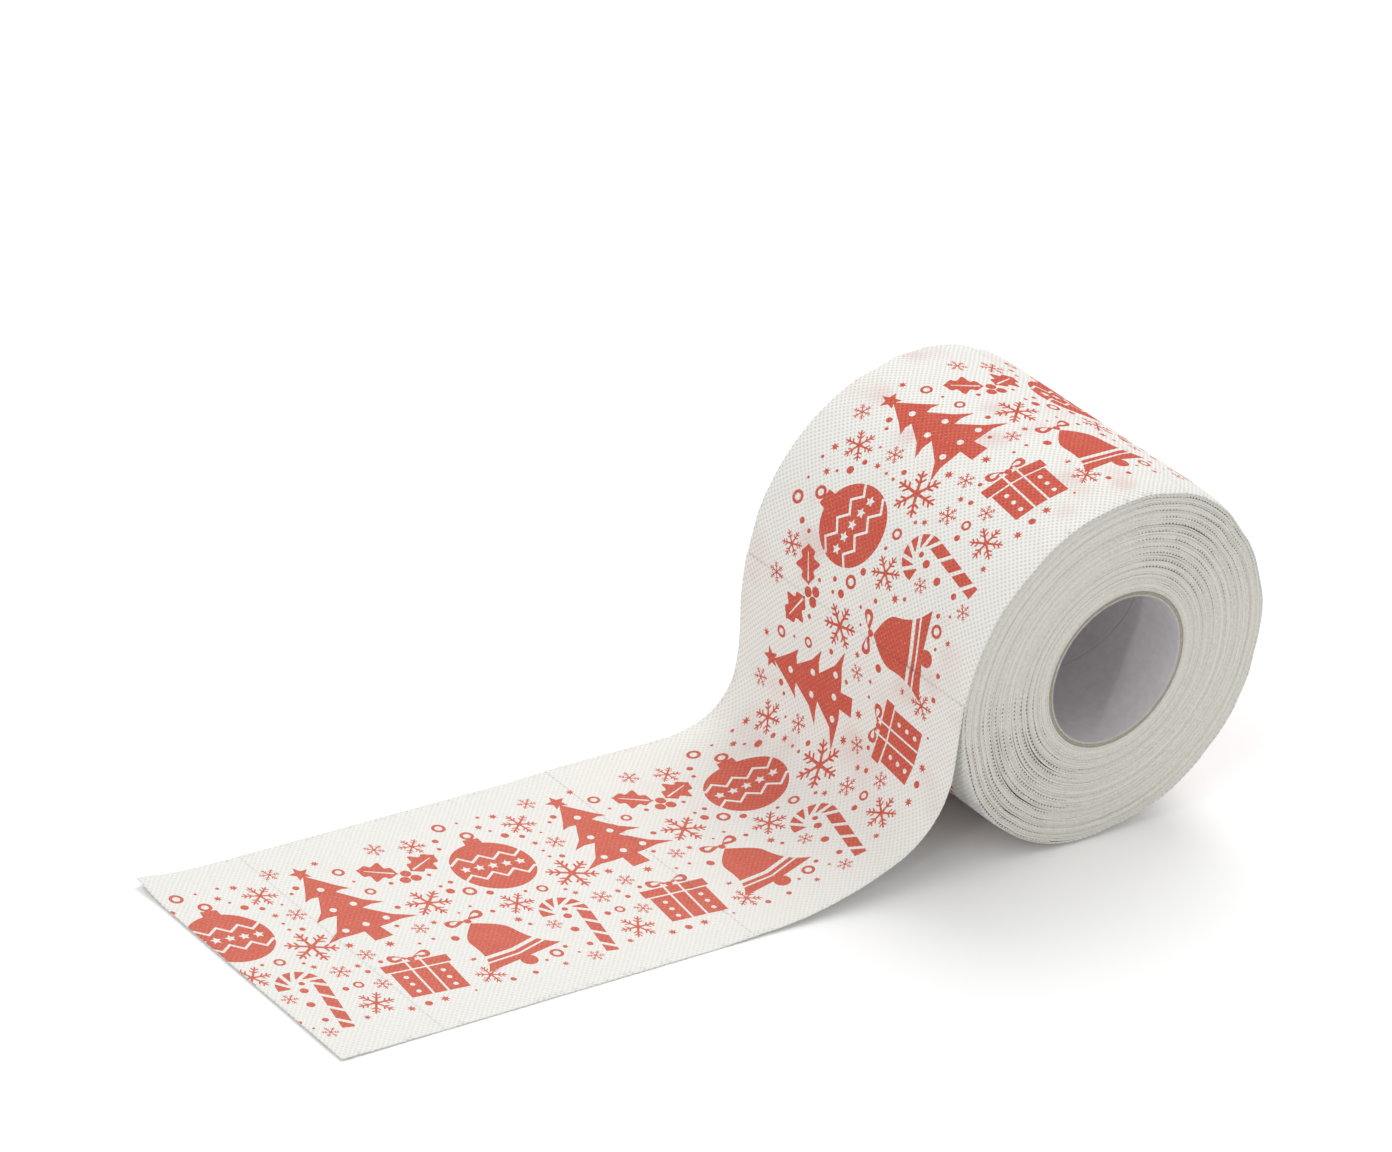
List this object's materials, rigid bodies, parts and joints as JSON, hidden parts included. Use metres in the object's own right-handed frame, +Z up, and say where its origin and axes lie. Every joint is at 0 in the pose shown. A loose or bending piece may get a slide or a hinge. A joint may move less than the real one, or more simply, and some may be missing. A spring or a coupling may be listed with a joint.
{
  "type": "printed tissue roll",
  "caption": "Bathroom tissue roll with a festive red print, lying on its side: board core, tightly wound perforated web, and the loose end coming off the side and run out flat.",
  "frame": {"origin": "on the table, under the middle of the whole object", "axes": "+Z up, +Y along the roll's axis away from the end that faces the viewer, -X the way the loose end runs out"},
  "size_m": [0.3004, 0.095, 0.1068],
  "materials": {
    "printed_tissue": "matte",
    "wound_tissue": "matte",
    "lined_board": "matte",
    "grey_board": "matte"
  },
  "bodies": {
    "loose_web": {"loose_sheet": "printed_tissue"},
    "roll": {"core_inner_ply": "lined_board", "core_outer_ply": "grey_board", "wound_web": "wound_tissue", "wrapped_sheet_1": "printed_tissue", "wrapped_sheet_2": "printed_tissue", "wrapped_sheet_3": "printed_tissue", "wrapped_sheet_4": "printed_tissue", "wrapped_sheet_5": "printed_tissue", "wrapped_sheet_6": "printed_tissue"},
    "tail": {"tail_sheet": "printed_tissue"},
    "cut_end": {"cut_sheet": "printed_tissue"}
  },
  "joints": [
    {"name": "roll_turn", "type": "hinge", "parent": "loose_web", "child": "roll", "pos_m": [0.09675, 0, 0.05323], "axis": [0, 1, 0], "range_deg": [0, 90]},
    {"name": "tail_draw", "type": "slide", "parent": "loose_web", "child": "tail", "axis": [1, 0, 0], "range_m": [0, 0.0842]},
    {"name": "cut_end_fold", "type": "hinge", "parent": "tail", "child": "cut_end", "pos_m": [-0.11815, 0, 0.0004], "axis": [0, 1, 0], "range_deg": [0, 165]}
  ],
  "couplings": [
    {"joint": "tail_draw", "follows": "roll_turn", "m_per_rad": 0.05355}
  ]
}
